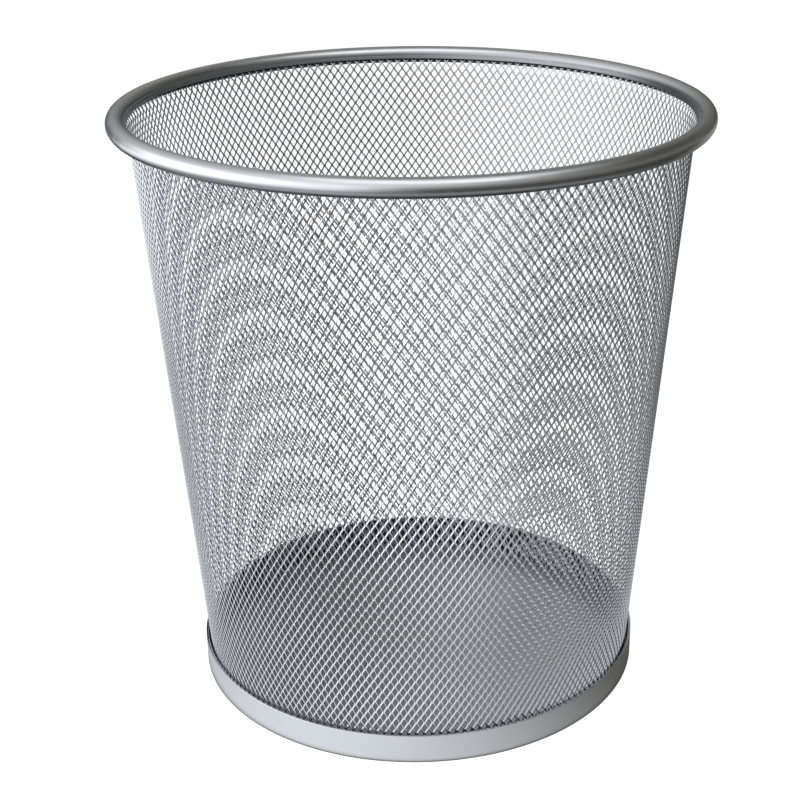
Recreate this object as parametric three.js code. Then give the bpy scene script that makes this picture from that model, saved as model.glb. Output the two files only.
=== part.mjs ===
// Round tapered wastebasket: a cone of expanded-metal mesh, held at the top in the slot of a rolled
// steel rim and standing at the bottom in a pressed steel pan. Millimetres, +Z up, origin at the
// centre of the pan's underside.
import * as THREE from 'three';

// Overall sizes
const rimDiameter = 295; // across the outside of the rolled rim
const basketHeight = 304; // from the table to the top of the rim
const bandDiameter = 235; // across the pan's upright band

// Rolled rim
const rollDiameter = 9; // outside of the roll
const rimSheet = 0.6; // strip that the rim is rolled from
const lipDrop = 2.4; // inner lip, below the middle of the roll
const lipFlare = 1.3; // how far the lip leans towards the axis over its drop

// Mesh wall, as a lattice of the mesh's diamonds drawn far coarser than they are
const meshThickness = 1.2; // from the strands' inner edges to their outer edges
const diamondsRound = 24; // openings in each row round the wall
const diamondRows = 5; // rows of whole openings, with a staggered row between each two
const barWidth = 8; // level width of the bars between the openings, half-way up the lattice
const latticeAboveBand = 4; // plain foot of the wall, over the top of the pan's band
const latticeBelowNeck = 4; // plain top of the wall, under the bend to the rim
const tuckBelowSlot = 2.75; // height over which the mesh bends outwards to reach the rim's slot
const tuckInSlot = 1.75; // height of mesh held inside the roll

// Pan
const bandHeight = 16; // table to the top of the band
const panSheet = 0.7; // steel of the floor and band
const panCorner = 1.6; // outside radius between floor and band
const hemThickness = 1.3; // folded top edge of the band
const hemHeight = 3.5; // folded part, from the band's top edge down
const hemTaper = 0.6; // height over which the fold runs out into the single sheet

// Clearances
const seatClearance = 0.3; // between pieces that touch on the real basket
const meshGap = 0.7; // between the folded hem and the mesh, at the band's top edge

// Facets
const facetsPerColumn = 3; // around the basket, to each column of openings
const ringSteps = facetsPerColumn * diamondsRound; // around the basket
const rollSteps = 14; // along the rim's roll
const bendSteps = 4; // along each small bend

const { PI } = Math;

// Points of an arc in the section plane, where x is the radius from the axis and y is the height.
function arc(centreX, centreY, radius, startAngle, endAngle, steps) {
  return Array.from({ length: steps + 1 }, (_, i) => {
    const angle = startAngle + ((endAngle - startAngle) * i) / steps;
    return new THREE.Vector2(centreX + radius * Math.cos(angle), centreY + radius * Math.sin(angle));
  });
}

// A closed section turned about the basket's axis, with the axis turned from three.js's Y to Z.
function turned(name, section, material) {
  const geometry = new THREE.LatheGeometry(section, ringSteps);
  geometry.rotateX(PI / 2);
  const mesh = new THREE.Mesh(geometry, material);
  mesh.name = name;
  return mesh;
}

// Section of the roll: its middle, the lip's lower edge and the strip's other end, which leaves a slot
const rollRadius = rollDiameter / 2;
const rollMiddle = new THREE.Vector2(rimDiameter / 2 - rollRadius, basketHeight - rollRadius);
const lipSlope = lipFlare / lipDrop;
const lipEdge = new THREE.Vector2(rollMiddle.x - rollRadius - lipFlare, rollMiddle.y - lipDrop);
const lipBack = lipEdge.x + rimSheet;
const slotWidth = meshThickness + 2 * seatClearance;
const stripRadius = rollRadius - rimSheet / 2;
const slotAngle = Math.acos((rollMiddle.x - lipBack - slotWidth) / stripRadius);

// Rim: one strip that runs up the inner lip, round the roll and back to the slot below it
function makeRim() {
  const endAngle = slotAngle - PI;
  const outside = arc(rollMiddle.x, rollMiddle.y, rollRadius, PI, endAngle, rollSteps);
  const inside = arc(rollMiddle.x, rollMiddle.y, rollRadius - rimSheet, endAngle, PI, rollSteps);
  const lipOuterCorner = new THREE.Vector2(lipBack, lipEdge.y);
  const section = [lipEdge.clone(), ...outside, ...inside, lipOuterCorner, lipEdge.clone()];
  const material = new THREE.MeshStandardMaterial({ color: 0xb4b6b9, roughness: 0.3, metalness: 0.9 });
  return turned('rim_roll', section.reverse(), material);
}

// Mesh: a cone that stands on the pan's floor, bends outwards below the rim and ends inside the roll.
// A corner on the wall is a pair: columns of openings round it, and a level on it.
function makeMesh() {
  const slotOuter = lipBack + seatClearance + meshThickness;
  const top = new THREE.Vector2(slotOuter + lipSlope * tuckInSlot, lipEdge.y + tuckInSlot);
  const neck = new THREE.Vector2(slotOuter - lipSlope * tuckBelowSlot, lipEdge.y - tuckBelowSlot);
  const bandLevel = new THREE.Vector2(bandDiameter / 2 - hemThickness - meshGap, bandHeight);
  const taper = (neck.x - bandLevel.x) / (neck.y - bandLevel.y);
  const onCone = (height) => new THREE.Vector2(neck.x + taper * (height - neck.y), height);
  const foot = onCone(panSheet + seatClearance);
  const latticeFoot = onCone(bandHeight + latticeAboveBand);
  const latticeTop = onCone(neck.y - latticeBelowNeck);

  // Levels: the lattice counts its rows from 0, and the plain edges lie one and two levels outside it
  const footLevel = -1;
  const neckLevel = diamondRows + 1;
  const topLevel = diamondRows + 2;
  function outerFace(level) {
    if (level === footLevel) return foot;
    if (level === neckLevel) return neck;
    if (level === topLevel) return top;
    return latticeFoot.clone().lerp(latticeTop, level / diamondRows);
  }
  function place([column, level], depth) {
    const angle = (2 * PI * ((column + diamondsRound) % diamondsRound)) / diamondsRound;
    const { x, y } = outerFace(level);
    return [(x - depth) * Math.cos(angle), (x - depth) * Math.sin(angle), y];
  }

  const positions = [];
  const addQuad = (a, b, c, d) => positions.push(...a, ...b, ...c, ...a, ...c, ...d);
  // A patch on both faces of the wall, from four corners that run anticlockwise seen from outside
  function addPatch(...corners) {
    const [a, b, c, d] = corners.map((corner) => place(corner, meshThickness));
    addQuad(...corners.map((corner) => place(corner, 0)));
    addQuad(a, d, c, b);
  }
  // The wall's thickness between two corners, with the open side to the left of the way from the first
  function addEdge(from, to) {
    addQuad(place(from, 0), place(to, 0), place(to, meshThickness), place(from, meshThickness));
  }
  function addOpening(...corners) {
    corners.forEach((corner, i) => addEdge(corner, corners[(i + 1) % corners.length]));
  }

  // Half of an opening's width, in columns, and of its height, in rows
  const pitch = (2 * PI * (latticeFoot.x + latticeTop.x)) / 2 / diamondsRound;
  const half = (1 - barWidth / pitch) / 2;
  // At the lattice's foot and top a staggered opening is cut off level, where it is one facet wide
  const cutHalf = 0.5 - 1 / facetsPerColumn;
  function staggeredSide(column, row, side) {
    if (row === 0) return [column + 0.5 + side * cutHalf, half - cutHalf];
    if (row === diamondRows) return [column + 0.5 + side * cutHalf, diamondRows - half + cutHalf];
    return [column + 0.5 + side * half, row];
  }
  const staggeredLeft = (column, row) => staggeredSide(column, row, -1);
  const staggeredRight = (column, row) => staggeredSide(column, row, 1);
  const staggeredTop = (column, row) => [column + 0.5, row + half];
  const staggeredBottom = (column, row) => [column + 0.5, row - half];
  const left = (column, row) => [column - half, row + 0.5];
  const right = (column, row) => [column + half, row + 0.5];
  const above = (column, row) => [column, row + 0.5 + half];
  const below = (column, row) => [column, row + 0.5 - half];

  for (let column = 0; column < diamondsRound; column += 1) {
    const before = column - 1;
    const after = column + 1;
    for (let row = 0; row < diamondRows; row += 1) {
      const next = row + 1;
      const atLeft = left(column, row);
      const atRight = right(column, row);
      const atTop = above(column, row);
      const atBottom = below(column, row);
      addOpening(atRight, atTop, atLeft, atBottom);
      // Bars to the four staggered openings round this one, then the knot on its right
      addPatch(atRight, staggeredBottom(column, next), staggeredLeft(column, next), atTop);
      addPatch(atTop, staggeredRight(before, next), staggeredBottom(before, next), atLeft);
      addPatch(atLeft, staggeredTop(before, row), staggeredRight(before, row), atBottom);
      addPatch(atBottom, staggeredLeft(column, row), staggeredTop(column, row), atRight);
      addPatch(atRight, staggeredTop(column, row), left(after, row), staggeredBottom(column, next));
    }
    for (let row = 1; row < diamondRows; row += 1) {
      const atLeft = staggeredLeft(column, row);
      const atRight = staggeredRight(column, row);
      addOpening(atRight, staggeredTop(column, row), atLeft, staggeredBottom(column, row));
      // Knot on its left, between the openings below and above it
      addPatch(staggeredRight(before, row), above(column, row - 1), atLeft, below(column, row));
    }
    // Openings cut off by the plain foot and top of the wall, then those edges themselves, facet by facet
    const last = diamondRows - 1;
    const cutSides = [staggeredLeft, staggeredRight];
    const lowCut = cutSides.map((corner) => corner(column, 0));
    const highCut = cutSides.map((corner) => corner(column, diamondRows));
    addOpening(lowCut[1], staggeredTop(column, 0), lowCut[0]);
    addOpening(highCut[0], staggeredBottom(column, diamondRows), highCut[1]);
    const lowEdge = [below(column, 0), ...lowCut, below(after, 0)];
    const highEdge = [above(column, last), ...highCut, above(after, last)];
    for (let facet = 0; facet < facetsPerColumn; facet += 1) {
      const from = column + facet / facetsPerColumn;
      const to = column + (facet + 1) / facetsPerColumn;
      addEdge([to, footLevel], [from, footLevel]);
      addPatch([from, footLevel], [to, footLevel], [to, 0], [from, 0]);
      addPatch([from, 0], [to, 0], lowEdge[facet + 1], lowEdge[facet]);
      addPatch(highEdge[facet], highEdge[facet + 1], [to, diamondRows], [from, diamondRows]);
      addPatch([from, diamondRows], [to, diamondRows], [to, neckLevel], [from, neckLevel]);
      addPatch([from, neckLevel], [to, neckLevel], [to, topLevel], [from, topLevel]);
      addEdge([from, topLevel], [to, topLevel]);
    }
  }

  const geometry = new THREE.BufferGeometry();
  geometry.setAttribute('position', new THREE.Float32BufferAttribute(positions, 3));
  geometry.computeVertexNormals();
  const material = new THREE.MeshStandardMaterial({ color: 0xa9acb0, roughness: 0.35, metalness: 0.9 });
  const mesh = new THREE.Mesh(geometry, material);
  mesh.name = 'mesh_wall';
  return mesh;
}

// Pan: a flat floor with a rounded corner, an upright band and a hem folded to the inside
function makePan() {
  const bandRadius = bandDiameter / 2;
  const sheetInside = bandRadius - panSheet;
  const hemInside = bandRadius - hemThickness;
  const hemRadius = hemThickness / 2;
  const cornerMiddle = bandRadius - panCorner;
  const section = [
    new THREE.Vector2(0, 0),
    ...arc(cornerMiddle, panCorner, panCorner, -PI / 2, 0, bendSteps),
    ...arc(bandRadius - hemRadius, bandHeight - hemRadius, hemRadius, 0, PI, bendSteps),
    new THREE.Vector2(hemInside, bandHeight - hemHeight),
    new THREE.Vector2(sheetInside, bandHeight - hemHeight - hemTaper),
    ...arc(cornerMiddle, panCorner, panCorner - panSheet, 0, -PI / 2, bendSteps),
    new THREE.Vector2(0, panSheet),
  ];
  const material = new THREE.MeshStandardMaterial({ color: 0xbfc2c6, roughness: 0.4, metalness: 0.8 });
  return turned('base_pan', section, material);
}

const basket = new THREE.Group();
basket.add(makeRim(), makeMesh(), makePan());

export default basket;
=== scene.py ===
"""Mesh wastebasket: a cone of expanded-metal mesh in a rolled steel rim and a pressed steel pan.

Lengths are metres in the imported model's frame: +Z up, origin at the centre of the pan's underside.
"""
import math

import bpy
import numpy as np
from mathutils import Matrix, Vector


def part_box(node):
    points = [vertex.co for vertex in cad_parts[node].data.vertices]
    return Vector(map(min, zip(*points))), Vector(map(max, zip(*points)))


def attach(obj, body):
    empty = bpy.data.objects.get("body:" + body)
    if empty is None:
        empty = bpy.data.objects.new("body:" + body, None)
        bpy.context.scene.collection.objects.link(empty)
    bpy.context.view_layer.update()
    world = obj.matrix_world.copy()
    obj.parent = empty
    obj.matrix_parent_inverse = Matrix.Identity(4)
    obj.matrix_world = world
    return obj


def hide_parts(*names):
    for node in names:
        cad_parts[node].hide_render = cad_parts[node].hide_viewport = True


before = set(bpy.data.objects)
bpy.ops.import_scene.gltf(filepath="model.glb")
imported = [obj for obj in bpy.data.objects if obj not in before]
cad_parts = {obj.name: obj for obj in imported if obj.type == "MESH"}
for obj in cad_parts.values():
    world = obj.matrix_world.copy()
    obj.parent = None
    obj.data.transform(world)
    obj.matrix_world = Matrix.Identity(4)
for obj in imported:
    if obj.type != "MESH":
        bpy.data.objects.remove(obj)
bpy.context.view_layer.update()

bl_info = {
    "name": "Mesh wastebasket",
    "version": (1, 0, 0),
    "blender": (4, 5, 0),
    "location": "3D View > Sidebar > Basket",
    "description": "Builds a round expanded-metal wastebasket and a plain studio round it",
    "category": "Add Mesh",
}

MM = 0.001
# Steps round the axis of the rim and the pan
TURNS = 288
RIM_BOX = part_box("rim_roll")
MESH_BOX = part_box("mesh_wall")
PAN_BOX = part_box("base_pan")


def linear(hex_colour):
    """Linear RGBA of an sRGB hex value such as b4b6b9."""
    srgb = np.array([int(hex_colour[i:i + 2], 16) for i in (0, 2, 4)]) / 255
    rgb = np.where(srgb <= 0.04045, srgb / 12.92, ((srgb + 0.055) / 1.055) ** 2.4)
    return (*(float(c) for c in rgb), 1.0)


def length(name, description, default):
    """A length property in metres."""
    return bpy.props.FloatProperty(
        name=name, description=description, default=default, min=0.0, unit="LENGTH", precision=5
    )


def colour(name, description, hex_colour):
    """A colour property, from an sRGB hex value."""
    return bpy.props.FloatVectorProperty(
        name=name, description=description, default=linear(hex_colour), size=4, min=0.0, max=1.0,
        subtype="COLOR",
    )


class BasketSizes(bpy.types.PropertyGroup):
    """Sizes of the rim, the mesh and the pan."""

    rim_radius: length("Rim radius", "From the axis to the outside of the rolled rim", RIM_BOX[1][0])
    height: length("Height", "From the table to the top of the rim", RIM_BOX[1][2])
    roll_radius: length("Roll radius", "Radius of the rim's roll", 4.5 * MM)
    rim_sheet: length("Rim sheet", "Steel strip that the rim is rolled from", 0.6 * MM)
    lip_drop: length("Lip drop", "Height of the inner lip below the middle of the roll", 2.4 * MM)
    lip_flare: length("Lip flare", "How far the lip leans towards the axis", 1.3 * MM)
    slot_width: length("Slot width", "Opening below the roll that holds the mesh", 1.8 * MM)

    diamonds_round: bpy.props.IntProperty(
        name="Diamonds round", description="Openings of the mesh round the wall", default=186, min=8
    )
    row_height: length("Row height", "Long way of one diamond, from knot to knot", 6.25 * MM)
    row_start: length("Row start", "Height of the first row of knots above the table", 0.86 * MM)
    strand_width: length("Strand width", "Width of a slit strand along the wall", 0.96 * MM)
    strand_thickness: length(
        "Strand thickness", "From a strand's flat inner face to its outer ridge", 0.52 * MM
    )
    face_tilt: bpy.props.FloatProperty(
        name="Face tilt", description="Slope of a strand's outer face, from the stretching",
        default=math.radians(28), subtype="ANGLE",
    )
    back_tilt: bpy.props.FloatProperty(
        name="Back tilt", description="Slope of a strand's outer face beyond its ridge",
        default=math.radians(27), subtype="ANGLE",
    )
    knot_length: length("Knot length", "Height over which two strands stay joined", 0.8 * MM)
    knot_overlap: bpy.props.FloatProperty(
        name="Knot overlap",
        description="Share of its width by which a strand sinks into the next one at a knot",
        default=0.4, min=0.0, max=1.0, subtype="FACTOR",
    )
    turn: bpy.props.FloatProperty(
        name="Mesh turn", description="Turn of the mesh about the axis, in diamonds", default=0.12
    )
    wall_thickness: length("Wall thickness", "From the strands' inner to their outer edges", 1.2 * MM)

    band_radius: length("Band radius", "Outside of the pan's upright band", PAN_BOX[1][0])
    band_height: length("Band height", "From the table to the top of the band", PAN_BOX[1][2])
    pan_sheet: length("Pan sheet", "Steel of the pan's floor and band", 0.7 * MM)
    pan_corner: length("Pan corner", "Outside radius between the floor and the band", 1.6 * MM)
    hem_thickness: length("Hem thickness", "Folded top edge of the band", 1.3 * MM)
    hem_height: length("Hem height", "Folded part, down from the band's top edge", 3.5 * MM)


class BasketFinishes(bpy.types.PropertyGroup):
    """Colours of the lacquers, and of the shade painted on them."""

    rim_colour: colour("Rim lacquer", "Silver lacquer on the rolled rim", "d1d3d5")
    mesh_colour: colour("Mesh lacquer", "Silver lacquer on the expanded mesh", "e2e5ea")
    pan_colour: colour("Pan lacquer", "Silver lacquer on the pressed pan", "cfd1d4")
    # Painted shade: a dark colour for the shade on the rim's underside and lip, the strands' inner faces
    # and lower slopes, and inside the pan's band
    painted_shade_colour: colour("Bare steel", "Almost bare steel where the spray did not reach", "3c3f43")


class StudioSettings(bpy.types.PropertyGroup):
    """Camera and light of the plain studio."""

    target: bpy.props.FloatVectorProperty(
        name="Target", description="Point that the camera looks at", size=3,
        default=(17.8 * MM, 0.0, 145.3 * MM), subtype="TRANSLATION", unit="LENGTH",
    )
    distance: length("Distance", "From the camera to its target", 832.7 * MM)
    elevation: bpy.props.FloatProperty(
        name="Elevation", description="Camera's height over the horizon", default=math.radians(23.036),
        subtype="ANGLE",
    )
    roll: bpy.props.FloatProperty(
        name="Roll", description="Turn of the camera about its own axis", default=math.radians(-0.212),
        subtype="ANGLE",
    )
    lens: bpy.props.FloatProperty(
        name="Lens", description="Focal length on a 36 mm wide picture", default=71.16, unit="CAMERA"
    )
    shift: bpy.props.FloatProperty(
        name="Shift", description="Sideways shift of the picture, as a share of its width", default=-0.0625
    )
    ambient: bpy.props.FloatProperty(
        name="Ambient", description="Strength of the room's own light", default=0.22, min=0.0
    )
    key: bpy.props.FloatProperty(
        name="Key", description="Radiance of the soft box on the left", default=0.7, min=0.0
    )
    top: bpy.props.FloatProperty(
        name="Top", description="Radiance of the soft box overhead", default=0.7, min=0.0
    )


def add_node(tree, kind, settings=None, inputs=None):
    """Add a node, set its own settings, and fill its sockets with values or links from other sockets."""
    made = tree.nodes.new(kind)
    for name, value in (settings or {}).items():
        setattr(made, name, value)
    for name, value in (inputs or {}).items():
        if isinstance(value, bpy.types.NodeSocket):
            tree.links.new(value, made.inputs[name])
        else:
            made.inputs[name].default_value = value
    return made


def new_material(name):
    """An empty node material, with its tree and its output node."""
    material = bpy.data.materials.new(name)
    material.use_nodes = True
    tree = material.node_tree
    tree.nodes.clear()
    return material, tree, add_node(tree, "ShaderNodeOutputMaterial")


def smooth(value, start, end):
    """0 before start and 1 after end, with an even ease between them, for whole arrays."""
    share = np.clip((value - start) / (end - start), 0.0, 1.0)
    return share * share * (3.0 - 2.0 * share)


def arc(middle, radius, start, end, steps):
    """Points of an arc in the section plane, as rows of radius and height; angles in radians."""
    angles = np.linspace(start, end, steps + 1)
    return np.stack([middle[0] + radius * np.cos(angles), middle[1] + radius * np.sin(angles)], axis=1)


def grid_faces(rows, columns, close_rows, close_columns):
    """Quads of a grid of points numbered row by row, wrapped round in either direction where asked."""
    row = np.arange(rows if close_rows else rows - 1)[:, None]
    column = np.arange(columns if close_columns else columns - 1)[None, :]
    next_row = (row + 1) % rows
    next_column = (column + 1) % columns
    corners = [row * columns + column, row * columns + next_column,
               next_row * columns + next_column, next_row * columns + column]
    return np.stack(np.broadcast_arrays(*corners), axis=-1).reshape(-1, 4)


def make_object(name, points, faces, rounded, material):
    """A mesh object at the origin, from points in metres, quads, and which quads are shaded round."""
    mesh = bpy.data.meshes.new(name)
    mesh.vertices.add(len(points))
    mesh.vertices.foreach_set("co", np.ascontiguousarray(points, dtype=np.float32).ravel())
    mesh.loops.add(faces.size)
    mesh.loops.foreach_set("vertex_index", np.ascontiguousarray(faces, dtype=np.int32).ravel())
    mesh.polygons.add(len(faces))
    mesh.polygons.foreach_set("loop_start", np.arange(len(faces), dtype=np.int32) * 4)
    mesh.polygons.foreach_set("use_smooth", np.broadcast_to(rounded, len(faces)).astype(bool))
    mesh.update(calc_edges=True)
    mesh.validate()
    mesh.materials.append(material)
    made = bpy.data.objects.new(name, mesh)
    bpy.context.scene.collection.objects.link(made)
    return made


def cap_faces(count):
    """Quads across a flat ring of an even number of points, as a strip from one side to the other."""
    first = np.arange(count // 2 - 1)
    return np.stack([first, first + 1, count - 2 - first, count - 1 - first], axis=1)


def round_angles(steps):
    """Angles of even steps round the axis, from +X over +Y, one to a row."""
    return np.linspace(0.0, 2 * math.pi, steps, endpoint=False)[:, None]


def turned(section, steps, closed):
    """A section carried round the axis: point (i, j) is section point j turned by i steps.

    The section runs anticlockwise, with the radius to the right and the height upwards."""
    angles = round_angles(steps)
    radius = section[None, :, 0]
    height = np.broadcast_to(section[:, 1], (steps, len(section)))
    points = np.stack([radius * np.cos(angles), radius * np.sin(angles), height], axis=-1)
    return points.reshape(-1, 3), grid_faces(steps, len(section), True, closed)[:, ::-1]


def store_lit_share(piece, lit_shares):
    """Store each face's lit share of a piece: 1 for the full lacquer colour, 0 for the colour of painted
    shade.
    """
    lit_share = piece.data.attributes.new("lit_share", "FLOAT", "FACE")
    lit_share.data.foreach_set("value", lit_shares.astype(np.float32))


def silver_lacquer_and_painted_shade(name, colours, cloud_size, cloud_detail, roughness):
    """Lacquer with painted shade, from its shade and full colours, its dull clouds' size and its roughness.

    The lit share stored with each face leads from the painted shade colour at 0 to the full one at 1, and a
    noise of the clouds' size from the least to the most roughness. Gives the material, its tree and its
    shader."""
    material, tree, output = new_material(name)
    # Painted shade: the stored lit share mixes the painted shade colour with the full lacquer colour
    lit_share = add_node(tree, "ShaderNodeAttribute", {"attribute_name": "lit_share"})
    colour_of_lit_share = add_node(
        tree, "ShaderNodeMix", {"data_type": "RGBA"},
        {"Factor": lit_share.outputs["Fac"], "A": colours[0], "B": colours[1]},
    )
    place = add_node(tree, "ShaderNodeTexCoord").outputs["Object"]
    cloud = add_node(
        tree, "ShaderNodeTexNoise",
        inputs={"Vector": place, "Scale": 1 / cloud_size, "Detail": cloud_detail},
    )
    rough = add_node(
        tree, "ShaderNodeMapRange",
        inputs={"Value": cloud.outputs["Fac"], "To Min": roughness[0], "To Max": roughness[1]},
    )
    shader = add_node(
        tree, "ShaderNodeBsdfPrincipled",
        inputs={
            "Base Color": colour_of_lit_share.outputs["Result"], "Metallic": 1.0,
            "Roughness": rough.outputs["Result"],
        },
    )
    tree.links.new(shader.outputs["BSDF"], output.inputs["Surface"])
    return material, tree, shader


# Silver metallic lacquer on a rolled steel strip: a semi-gloss metal whose highlights run a little
# unevenly along the rim, from clouds of duller coat 5 mm across and the spray's orange peel of 2.5 mm waves
# Its colour is darkened with painted shade where the stored lit share is low
def rim_lacquer(finishes):
    material, tree, shader = silver_lacquer_and_painted_shade(
        "silver_lacquer_on_rolled_steel", (finishes.painted_shade_colour, finishes.rim_colour),
        cloud_size=5 * MM, cloud_detail=3.0, roughness=(0.24, 0.38),
    )
    peel_size = 2.5 * MM
    peel_depth = 0.03 * MM
    place = add_node(tree, "ShaderNodeTexCoord").outputs["Object"]
    peel = add_node(
        tree, "ShaderNodeTexNoise", inputs={"Vector": place, "Scale": 1 / peel_size, "Detail": 3.0}
    )
    bump = add_node(
        tree, "ShaderNodeBump",
        inputs={"Strength": 0.5, "Distance": peel_depth, "Height": peel.outputs["Fac"]},
    )
    tree.links.new(bump.outputs["Normal"], shader.inputs["Normal"])
    return material


# Silver metallic lacquer on expanded steel: each face of a slit strand is a small metal mirror, clouded by
# the coat.
# The inner faces and lower slopes are darkened with painted shade, for the shade inside the basket and
# under strands
def mesh_lacquer(finishes):
    return silver_lacquer_and_painted_shade(
        "silver_lacquer_on_expanded_steel", (finishes.painted_shade_colour, finishes.mesh_colour),
        cloud_size=4 * MM, cloud_detail=2.0, roughness=(0.16, 0.26),
    )[0]


# Silver metallic lacquer on pressed steel sheet: an even satin metal, darkened with painted shade inside
# the band, where shade falls behind the mesh
def pan_lacquer(finishes):
    return silver_lacquer_and_painted_shade(
        "silver_lacquer_on_pressed_steel", (finishes.painted_shade_colour, finishes.pan_colour),
        cloud_size=6 * MM, cloud_detail=3.0, roughness=(0.22, 0.3),
    )[0]


def roll_middle(sizes):
    """Middle of the rim's roll in the section plane."""
    return np.array([sizes.rim_radius - sizes.roll_radius, sizes.height - sizes.roll_radius])


def lip_edge(sizes):
    """Lower inside corner of the rim's lip in the section plane."""
    return roll_middle(sizes) - [sizes.roll_radius + sizes.lip_flare, sizes.lip_drop]


class BASKET_OT_make_rim(bpy.types.Operator):
    """Make the rolled steel rim"""

    bl_idname = "basket.make_rim"
    bl_label = "Rolled rim"

    def execute(self, context):
        sizes = context.scene.basket_sizes
        # The strip's section, carried round the axis: the lip's rounded tip, an arc of the roll's outside
        # from the lip over the top to the slot, and an arc of its inside back to the lip
        middle = roll_middle(sizes)
        edge = lip_edge(sizes)
        half_sheet = sizes.rim_sheet / 2
        strip_radius = sizes.roll_radius - half_sheet
        slot_start = edge[0] + sizes.rim_sheet
        slot_angle = math.acos((middle[0] - slot_start - sizes.slot_width) / strip_radius)
        end = slot_angle - math.pi
        outside = arc(middle, sizes.roll_radius, math.pi, end, steps=56)
        inside = arc(middle, sizes.roll_radius - sizes.rim_sheet, end, math.pi, steps=40)
        # The lip that is seen ends at this share of the way down to its full edge
        lip_share = 0.72
        lip = (1 - lip_share) * (middle - [sizes.roll_radius, 0.0]) + lip_share * edge
        tip = arc(lip + half_sheet, half_sheet, 0.0, -math.pi, steps=6)
        section = np.concatenate([tip, outside, inside])
        points, faces = turned(section[::-1], TURNS, True)
        finishes = context.scene.basket_finishes
        rim = make_object("rim_roll_strip", points, faces, True, rim_lacquer(finishes))
        # Painted shade: the full lacquer colour covers the roll from its outer side, at 0 degrees, over its
        # top.
        # It darkens to the painted shade colour on the underside and towards the lip, which is darker on
        # the right, away from the light, than on the left; the inside and the lip's tip are all painted
        # shade
        degrees = np.degrees(np.linspace(end, math.pi, len(outside) - 1))
        lip_lit_share = 0.44 - 0.22 * np.cos(round_angles(TURNS))
        over_top = lip_lit_share + (1.0 - lip_lit_share) * smooth(degrees, 178.0, 140.0)
        outside_lit_share = smooth(degrees, -45.0, -2.0) * over_top
        inside_lit_share = np.zeros((TURNS, len(inside)))
        tip_lit_share = np.zeros((TURNS, len(tip)))
        store_lit_share(rim, np.concatenate([inside_lit_share, outside_lit_share, lip_lit_share, tip_lit_share], axis=1).ravel())
        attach(rim, "root")
        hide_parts("rim_roll")
        return {"FINISHED"}


def wall_middle(sizes, height):
    """Radius of the middle of the mesh wall at each height.

    Two straight stretches: a cone from the foot, past the pan's band, up to a neck below the rim, and from
    there one that leans out along the lip into the slot."""
    slot_clearance = 0.3 * MM
    hem_clearance = 0.7 * MM
    top_above_edge = 1.75 * MM
    neck_below_edge = 2.75 * MM
    edge = lip_edge(sizes)
    slope = sizes.lip_flare / sizes.lip_drop
    slot_outer = edge[0] + sizes.rim_sheet + slot_clearance + sizes.wall_thickness
    top = (slot_outer + slope * top_above_edge, edge[1] + top_above_edge)
    neck = (slot_outer - slope * neck_below_edge, edge[1] - neck_below_edge)
    band = (sizes.band_radius - sizes.hem_thickness - hem_clearance, sizes.band_height)
    taper = (neck[0] - band[0]) / (neck[1] - band[1])
    foot = (band[0] - taper * band[1], 0.0)
    outer = np.interp(height, [foot[1], neck[1], top[1]], [foot[0], neck[0], top[0]])
    return outer - sizes.wall_thickness / 2


def drift(place, height):
    """How far the knots of the unevenly stretched sheet lie from an even mesh, round the wall and upwards.

    Slow waves once and twice round the wall, some of which grow with the height from half-way up. The way
    round is counted in diamonds and the way up in rows."""
    half_way = 150 * MM
    rise = (height - half_way) / half_way
    back = np.sin(place)
    right = np.cos(place)
    aside = -0.47 * right - 0.12 * back + 0.11 * right * back - 0.19 * (right ** 2 - back ** 2)
    aside = aside + rise * (0.12 * right - 0.13 * back)
    up = 0.09 * back - 0.13 * right - 0.07 * right * back - 0.06 * (right ** 2 - back ** 2)
    up = up + rise * (0.23 * right + 0.15 * back)
    return aside, up


def strand_section(sizes):
    """Section of a strand, as steps along the wall and out of it, anticlockwise seen from above.

    The outer face slopes up from the thin left edge to a narrow ridge and down to the right edge, and the
    inner face is flat with bevelled corners."""
    side = sizes.strand_width / 2
    deep = sizes.strand_thickness / 2
    ridge_width = 0.08 * MM
    left_edge = -0.25 * deep
    ridge = (deep - left_edge) / math.tan(sizes.face_tilt) - side
    ridge_end = ridge + ridge_width
    right_edge = deep - (side - ridge_end) * math.tan(sizes.back_tilt)
    bevel = -0.8 * deep
    inner_right = 0.35 * side
    inner_left = -0.4 * side
    return np.array([
        [-side, left_edge],
        [ridge, deep],
        [ridge_end, deep],
        [side, right_edge],
        [side, bevel],
        [inner_right, -deep],
        [inner_left, -deep],
        [-side, bevel],
    ])


def strand_lit_shares(knot_rows, steps, caps):
    """Lit shares of two neighbouring strands' faces, from the foot up: full outside, less inside as painted
    shade.

    Painted shade also darkens the slopes that look down, away from the light above: the left slope of a leg
    that leans left and the right slope of a leg that leans right. Neighbours lean opposite ways."""
    inner_lit_share = 0.58
    lower_lit_share = 0.42
    round_section = np.array([1.0, 1.0, 1.0, inner_lit_share, inner_lit_share, inner_lit_share, inner_lit_share, 1.0])
    step = np.arange(steps)
    leg = step % 2 == 1
    leans_left = ((2 * knot_rows[step // 2]).astype(int) + np.array([[0], [1]])) % 2 == 0
    lit_shares = np.tile(round_section, (2, steps, 1))
    lit_shares[:, :, 0] = np.where(leg & leans_left, lower_lit_share, 1.0)
    lit_shares[:, :, 2] = np.where(leg & ~leans_left, lower_lit_share, 1.0)
    return np.concatenate([lit_shares.reshape(2, -1), np.ones((2, caps))], axis=1).ravel()


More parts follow.
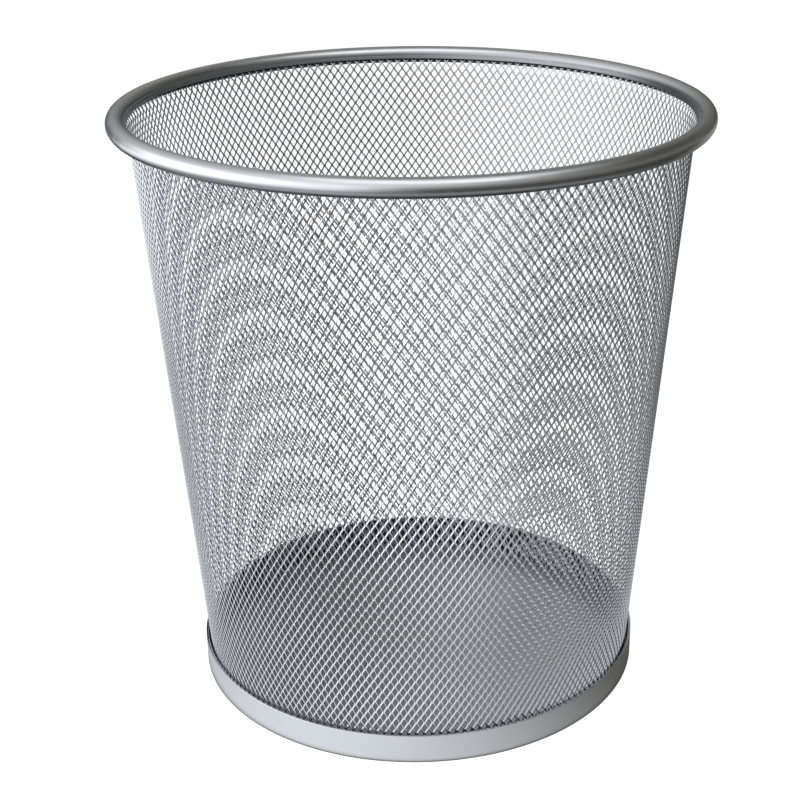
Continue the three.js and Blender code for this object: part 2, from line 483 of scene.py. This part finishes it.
class BASKET_OT_make_mesh(bpy.types.Operator):
    """Make the expanded-metal wall, as six gores of zigzag strands"""

    bl_idname = "basket.make_mesh"
    bl_label = "Expanded mesh"

    def execute(self, context):
        sizes = context.scene.basket_sizes
        material = mesh_lacquer(context.scene.basket_finishes)
        low = MESH_BOX[0][2]
        high = MESH_BOX[1][2]
        strands = 2 * sizes.diamonds_round
        # Six gores, so that none has too many triangles for one piece
        gores = 6
        gore = strands // gores
        section = strand_section(sizes)
        along_wall, out_of_wall = section.T
        # Which faces are shaded round, of those that start at the section's corners
        rounded = np.array([False, True, True, False, True, True, True, False])
        knot_aside = sizes.strand_width / 2 * (1 - sizes.knot_overlap)

        # Places of the strands round the wall, and the rows, counted from the first knots, where they end
        pitch_angle = 2 * math.pi / strands
        places = (np.arange(strands)[:, None] + 2 * sizes.turn) * pitch_angle
        foot = (low - sizes.row_start) / sizes.row_height + drift(places, low)[1]
        top = (high - sizes.row_start) / sizes.row_height + drift(places, high)[1]

        # Rows where a strand bends: the two ends of each knot. Bends past the cut edges of the sheet close
        # up at that edge, a small share of a row apart from each other
        knot_share = sizes.knot_length / sizes.row_height
        knot_rows = np.arange(math.floor(2 * foot.min()), math.ceil(2 * top.max()) + 1) / 2
        bends = np.stack([knot_rows - knot_share / 2, knot_rows + knot_share / 2], axis=1).ravel()
        order = np.arange(len(bends))
        least_step = 0.004

        def strand_points(numbers):
            """The section of each strand at each of its bends, set along the wall and out of it.

            A strand sways by a quarter of a diamond to each side, and the next one the other way. The sway
            is a wave of the row, 1 at whole rows and -1 at half rows, cut off level at the knots."""
            place = places[numbers]
            lowest = foot[numbers] + least_step * order
            highest = top[numbers] - least_step * order[::-1]
            row = np.clip(bends, lowest, highest)
            aside, up = drift(place, sizes.row_start + sizes.row_height * row)
            height = sizes.row_start + sizes.row_height * (row - up)
            wave = 4 * np.abs(row - np.floor(row) - 0.5) - 1
            sway = np.clip(wave / (1 - 2 * knot_share), -1.0, 1.0)
            sense = np.where(numbers % 2 == 0, 1.0, -1.0)[:, None] * sway
            radius = wall_middle(sizes, height)
            angle = place - 2 * aside * pitch_angle + sense * (pitch_angle / 2 - knot_aside / radius)
            outward = radius[:, :, None] + out_of_wall
            sideways = np.broadcast_to(along_wall, outward.shape)
            cos_angle = np.cos(angle)[:, :, None]
            sin_angle = np.sin(angle)[:, :, None]
            x = outward * cos_angle - sideways * sin_angle
            y = outward * sin_angle + sideways * cos_angle
            z = np.broadcast_to(height[:, :, None], outward.shape)
            return np.stack([x, y, z], axis=-1)

        rows = len(bends)
        corners = len(section)
        sides = grid_faces(rows, corners, False, True)
        cap = cap_faces(corners)
        one = np.concatenate([sides, cap[:, ::-1], cap + corners * (rows - 1)])
        one_rounded = np.concatenate([np.tile(rounded, rows - 1), np.full(2 * len(cap), False)])
        offsets = (np.arange(gore) * rows * corners)[:, None, None]
        faces = (one + offsets).reshape(-1, 4)
        # Painted shade on the strands' inner faces and lower slopes
        lit_shares = np.tile(strand_lit_shares(knot_rows, rows - 1, 2 * len(cap)), gore // 2)
        for number in range(gores):
            points = strand_points(np.arange(number * gore, (number + 1) * gore)).reshape(-1, 3)
            wall = make_object(
                f"mesh_wall_gore_{number + 1}", points, faces, np.tile(one_rounded, gore), material
            )
            store_lit_share(wall, lit_shares)
            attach(wall, "root")
            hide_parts("mesh_wall")
        return {"FINISHED"}


class BASKET_OT_make_pan(bpy.types.Operator):
    """Make the pressed steel pan"""

    bl_idname = "basket.make_pan"
    bl_label = "Pressed pan"

    def execute(self, context):
        sizes = context.scene.basket_sizes
        band = sizes.band_radius
        sheet = sizes.pan_sheet
        hem = sizes.hem_thickness
        top = sizes.band_height
        corner = np.array([band - sizes.pan_corner, sizes.pan_corner])
        hem_bend = 0.25 * MM
        hem_step = 0.6 * MM
        hem_foot = top - sizes.hem_height
        cap_radius = 8 * MM
        # A ring just before each bend keeps the flat stretches flat where they are shaded smoothly
        support = 0.4 * MM
        # The sheet's section, carried round the axis: out along the underside, round the corner, up the
        # band, over the hem and down the inside to the floor. A flat disc closes each face in the middle
        section = np.concatenate([
            [[cap_radius, 0.0], [corner[0] - support, 0.0]],
            arc(corner, sizes.pan_corner, -math.pi / 2, 0.0, steps=10),
            [[band, sizes.pan_corner + support], [band, top - hem_bend - support]],
            arc((band - hem_bend, top - hem_bend), hem_bend, 0.0, math.pi / 2, steps=5),
            arc((band - hem + hem_bend, top - hem_bend), hem_bend, math.pi / 2, math.pi, steps=5),
            [[band - hem, hem_foot], [band - sheet, hem_foot - hem_step]],
            arc(corner, sizes.pan_corner - sheet, 0.0, -math.pi / 2, steps=6),
            [[corner[0] - support, sheet], [cap_radius, sheet]],
        ])
        points, faces = turned(section, TURNS, False)
        ring = np.arange(TURNS) * len(section)
        cap = ring[cap_faces(TURNS)]
        faces = np.concatenate([faces, cap[:, ::-1], cap + len(section) - 1])
        finishes = context.scene.basket_finishes
        pan = make_object("base_pan_pressing", points, faces, True, pan_lacquer(finishes))
        # Painted shade inside the band, where shade falls behind the mesh
        radius, height = section.T
        inside_band = (radius < band - sheet / 2) & (height > sheet) & (height < top - hem / 2)
        lit_share = np.where(inside_band[:-1] | inside_band[1:], 0.0, 1.0)
        store_lit_share(pan, np.concatenate([np.tile(lit_share, TURNS), np.ones(2 * len(cap))]))
        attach(pan, "root")
        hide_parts("base_pan")
        return {"FINISHED"}


def seen_rays(tree):
    """1 for camera rays and for mirrored and transmitted rays, and 0 for the rest."""
    path = add_node(tree, "ShaderNodeLightPath").outputs
    seen = add_node(
        tree, "ShaderNodeMath", {"operation": "MAXIMUM"},
        {0: path["Is Camera Ray"], 1: path["Is Glossy Ray"]},
    )
    return add_node(
        tree, "ShaderNodeMath", {"operation": "MAXIMUM"},
        {0: seen.outputs[0], 1: path["Is Transmission Ray"]},
    ).outputs[0]


def bpy_matrix(axes):
    """Blender's own matrix of three axes that stand as the columns of an array."""
    return Matrix([[float(value) for value in row] for row in axes])


class BASKET_OT_make_stage(bpy.types.Operator):
    """Make the floor, the lights and the camera"""

    bl_idname = "basket.make_stage"
    bl_label = "Studio"

    def execute(self, context):
        studio = context.scene.studio_settings
        self.make_floor()
        self.make_world(context.scene, studio)
        self.make_screens()
        self.make_lamp(
            "key_soft_box", place=(-1.25, -0.15, 0.35), facing=(1.0, 0.08, -0.05), size=(1.9, 1.3),
            radiance=studio.key,
        )
        self.make_lamp(
            "top_soft_box", place=(0.1, -0.35, 1.6), facing=(0.0, 0.12, -1.0), size=(1.4, 1.2),
            radiance=studio.top,
        )
        self.make_camera(context.scene, studio)
        context.scene.view_settings.view_transform = "Standard"
        return {"FINISHED"}

    def make_floor(self):
        """A white floor: a flat disc of turns and rings, white to the camera and in mirrored light."""
        material, tree, output = new_material("white_studio_floor")
        floor_glow = 0.85
        strength = add_node(
            tree, "ShaderNodeMath", {"operation": "MULTIPLY"}, {0: seen_rays(tree), 1: floor_glow}
        )
        matt = add_node(tree, "ShaderNodeBsdfDiffuse", inputs={"Color": linear("e6e6e6")})
        glow = add_node(tree, "ShaderNodeEmission", inputs={"Strength": strength.outputs[0]})
        both = add_node(tree, "ShaderNodeAddShader", inputs={0: matt.outputs[0], 1: glow.outputs[0]})
        tree.links.new(both.outputs[0], output.inputs["Surface"])
        rings = np.array([6.0, 1.0, 0.001])
        turns = 64
        angles = round_angles(turns)
        height = np.zeros((turns, len(rings)))
        points = np.stack([rings * np.cos(angles), rings * np.sin(angles), height], axis=-1)
        faces = grid_faces(turns, len(rings), True, False)
        floor = make_object("studio_floor", points.reshape(-1, 3), faces, False, material)

    def make_world(self, scene, studio):
        """Grey light on the floor, and a white background for the camera and for what metal mirrors."""
        world = bpy.data.worlds.new("studio_room")
        world.use_nodes = True
        tree = world.node_tree
        tree.nodes.clear()
        room = add_node(
            tree, "ShaderNodeBackground", inputs={"Color": linear("f4f3f0"), "Strength": studio.ambient}
        )
        white = add_node(
            tree, "ShaderNodeBackground", inputs={"Color": linear("ffffff"), "Strength": 1.0}
        )
        both = add_node(
            tree, "ShaderNodeMixShader",
            inputs={0: seen_rays(tree), 1: room.outputs[0], 2: white.outputs[0]},
        )
        add_node(tree, "ShaderNodeOutputWorld", inputs={"Surface": both.outputs[0]})
        scene.world = world

    def make_screens(self):
        """Grey screens that only mirrored light meets, so that the metal has a light and a dark side.

        The room screen is a dome on a grid of azimuth, from the front over the right to the back, and
        elevation. The floor cloth is a flat ring round the basket on a grid of azimuth and radius, and the
        back card is an upright grid behind it. Each point has a glow, which is warm where it is weak."""
        material, tree, output = new_material("grey_studio_screen")
        glow = add_node(tree, "ShaderNodeAttribute", {"attribute_name": "glow"})
        tint = add_node(
            tree, "ShaderNodeMix", {"data_type": "RGBA"},
            {"Factor": glow.outputs["Fac"], "A": linear("f9f7ef"), "B": linear("f5f8fc")},
        )
        shade = add_node(
            tree, "ShaderNodeEmission",
            inputs={"Color": tint.outputs["Result"], "Strength": glow.outputs["Fac"]},
        )
        tree.links.new(shade.outputs[0], output.inputs["Surface"])
        material.cycles.emission_sampling = "NONE"

        azimuth = np.linspace(-180.0, 180.0, 91)[:, None]
        elevation = np.linspace(0.0, 90.0, 31)[None, :]
        sideways = np.sin(np.radians(azimuth))
        backward = -np.cos(np.radians(azimuth))

        def facing(direction):
            """1 towards a direction, -1 away from it, as the cosine of the azimuth between them."""
            return np.cos(np.radians(azimuth - direction))

        def away_from(direction):
            """How far round each azimuth lies from a direction, in degrees."""
            return np.abs((azimuth - direction + 180.0) % 360.0 - 180.0)

        # The room: dark near the floor, lightest on the left half-way up and at the front overhead
        reach = 2.6
        level = np.cos(np.radians(elevation))
        points = reach * np.stack(np.broadcast_arrays(
            sideways * level, backward * level, np.sin(np.radians(elevation))
        ), axis=-1)
        low = 0.18
        middle = 0.6 + 0.55 * facing(-62.0)
        high = 0.58 + 0.34 * facing(-20.0)
        strength = low + (middle - low) * smooth(elevation, 8.0, 37.0)
        strength = strength + (high - middle) * smooth(elevation, 40.0, 67.0)

        def lit(unlit, centre, half, soft):
            """The glow with one lit patch, from its centre, half size and soft edge in degrees."""
            patch_glow = 1.6
            across = smooth(away_from(centre[0]), half[0] + soft, half[0])
            upward = smooth(np.abs(elevation - centre[1]), half[1] + soft, half[1])
            return unlit + (patch_glow - unlit) * across * upward

        # A large lit wall on the left, and a small lamp high on the right
        strength = lit(strength, centre=(-58.0, 0.0), half=(32.0, 22.0), soft=28.0)
        strength = lit(strength, centre=(42.0, 66.0), half=(6.0, 5.0), soft=8.0)
        self.make_screen("grey_room_screen", points, strength, material)

        # The cloth: near the basket it is lightest in front on the left and darkest on the right, a painted
        # shadow of the basket. Farther out it darkens, except on the left, where a light ring, a dark ring
        # and a light rest follow. Its inner edge is dark, a painted contact shadow at the basket's foot
        cloth_height = 0.0005
        painted_contact_shadow_glow = 0.05
        ring = np.concatenate([np.linspace(0.114, 0.19, 24), np.geomspace(0.2, reach, 14)])[None, :]
        points = np.stack(np.broadcast_arrays(ring * sideways, ring * backward, cloth_height), axis=-1)
        near_light_and_painted_shadow = 0.12 + 1.05 * smooth(away_from(-30.0), 112.0, 0.0)
        near_light_and_painted_shadow = near_light_and_painted_shadow + 0.3 * smooth(away_from(150.0), 65.0, 15.0)
        left = 1.15 + 0.1 * smooth(away_from(-33.0), 42.0, 18.0)
        left = left + (0.35 - left) * smooth(ring, 0.3, 0.46) + 0.85 * smooth(ring, 0.46, 0.8)
        far = 0.06 + 0.7 * smooth(ring, 0.5, 0.25)
        far = far + (left - far) * smooth(away_from(-80.0), 82.0, 50.0)
        strength = near_light_and_painted_shadow + (far - near_light_and_painted_shadow) * smooth(ring, 0.15, 0.18)
        strength = painted_contact_shadow_glow + (strength - painted_contact_shadow_glow) * smooth(ring, 0.1165, 0.1205)
        self.make_screen("floor_cloth_with_painted_shadow", points, strength, material)

        # The card behind the basket: dark on the left and along its top
        card_distance = 0.3
        across = np.linspace(-0.5, 0.5, 41)[:, None]
        upward = np.linspace(0.002, 0.34, 12)[None, :]
        points = np.stack(np.broadcast_arrays(across, card_distance, upward), axis=-1)
        strength = 0.02 + 0.42 * smooth(across, -0.12, 0.09) * smooth(upward, 0.3, 0.24)
        self.make_screen("grey_back_card", points, strength, material)

    def make_screen(self, name, points, strength, material):
        """A grid of points as a stage piece that only mirrored light meets, with a glow at each point."""
        rows, columns = points.shape[:2]
        faces = grid_faces(rows, columns, False, False)
        screen = make_object(name, points.reshape(-1, 3), faces, True, material)
        glow = screen.data.attributes.new("glow", "FLOAT", "POINT")
        glow.data.foreach_set("value", np.ascontiguousarray(strength, dtype=np.float32).ravel())
        screen.visible_camera = False
        screen.visible_diffuse = False
        screen.visible_shadow = False
        screen.visible_transmission = False

    def make_lamp(self, name, place, facing, size, radiance):
        """A flat soft box, from its middle, the way it faces, its width and height, and its radiance."""
        lamp = bpy.data.lights.new(name, "AREA")
        lamp.shape = "RECTANGLE"
        lamp.size, lamp.size_y = size
        lamp.energy = radiance * math.pi * size[0] * size[1]
        made = bpy.data.objects.new(name, lamp)
        made.location = place
        back = -np.array(facing) / np.linalg.norm(facing)
        side = np.cross([0.0, 0.0, 1.0], back) if abs(back[2]) < 0.95 else np.array([1.0, 0.0, 0.0])
        side = side / np.linalg.norm(side)
        axes = np.stack([side, np.cross(back, side), back], axis=1)
        made.rotation_euler = bpy_matrix(axes).to_euler()
        made.visible_camera = False
        bpy.context.scene.collection.objects.link(made)

    def make_camera(self, scene, studio):
        """The photograph's view: the target, the distance and the height of the camera fix its place."""
        back = np.array([0.0, -math.cos(studio.elevation), math.sin(studio.elevation)])
        level = np.array([1.0, 0.0, 0.0])
        upward = np.cross(back, level)
        right = math.cos(studio.roll) * level + math.sin(studio.roll) * upward
        up = -math.sin(studio.roll) * level + math.cos(studio.roll) * upward
        camera = bpy.data.cameras.new("photo_camera")
        camera.sensor_fit = "HORIZONTAL"
        camera.sensor_width = 36.0
        camera.lens = studio.lens
        camera.shift_x = studio.shift
        camera.clip_start = 0.02
        camera.clip_end = 50.0
        made = bpy.data.objects.new("photo_camera", camera)
        made.location = np.array(studio.target) + studio.distance * back
        made.rotation_euler = bpy_matrix(np.stack([right, up, back], axis=1)).to_euler()
        scene.collection.objects.link(made)
        scene.camera = made


class BASKET_PT_panel(bpy.types.Panel):
    """Lists the steps that make the basket"""

    bl_idname = "BASKET_PT_panel"
    bl_label = "Mesh wastebasket"
    bl_space_type = "VIEW_3D"
    bl_region_type = "UI"
    bl_category = "Basket"

    def draw(self, context):
        for operator in OPERATORS:
            self.layout.operator(operator.bl_idname)
        scene = context.scene
        for group in (scene.basket_sizes, scene.basket_finishes, scene.studio_settings):
            for name in group.__annotations__:
                self.layout.prop(group, name)


OPERATORS = (BASKET_OT_make_rim, BASKET_OT_make_mesh, BASKET_OT_make_pan, BASKET_OT_make_stage)
CLASSES = (BasketSizes, BasketFinishes, StudioSettings, *OPERATORS, BASKET_PT_panel)


def register():
    """Make the classes and the scene's settings known to Blender."""
    for each in CLASSES:
        bpy.utils.register_class(each)
    bpy.types.Scene.basket_sizes = bpy.props.PointerProperty(type=BasketSizes)
    bpy.types.Scene.basket_finishes = bpy.props.PointerProperty(type=BasketFinishes)
    bpy.types.Scene.studio_settings = bpy.props.PointerProperty(type=StudioSettings)


def unregister():
    """Take the settings and the classes out again."""
    del bpy.types.Scene.studio_settings
    del bpy.types.Scene.basket_finishes
    del bpy.types.Scene.basket_sizes
    for each in reversed(CLASSES):
        bpy.utils.unregister_class(each)


def main():
    """Build the basket and its stage."""
    register()
    bpy.ops.basket.make_rim()
    bpy.ops.basket.make_mesh()
    bpy.ops.basket.make_pan()
    bpy.ops.basket.make_stage()


if __name__ == "__main__":
    main()
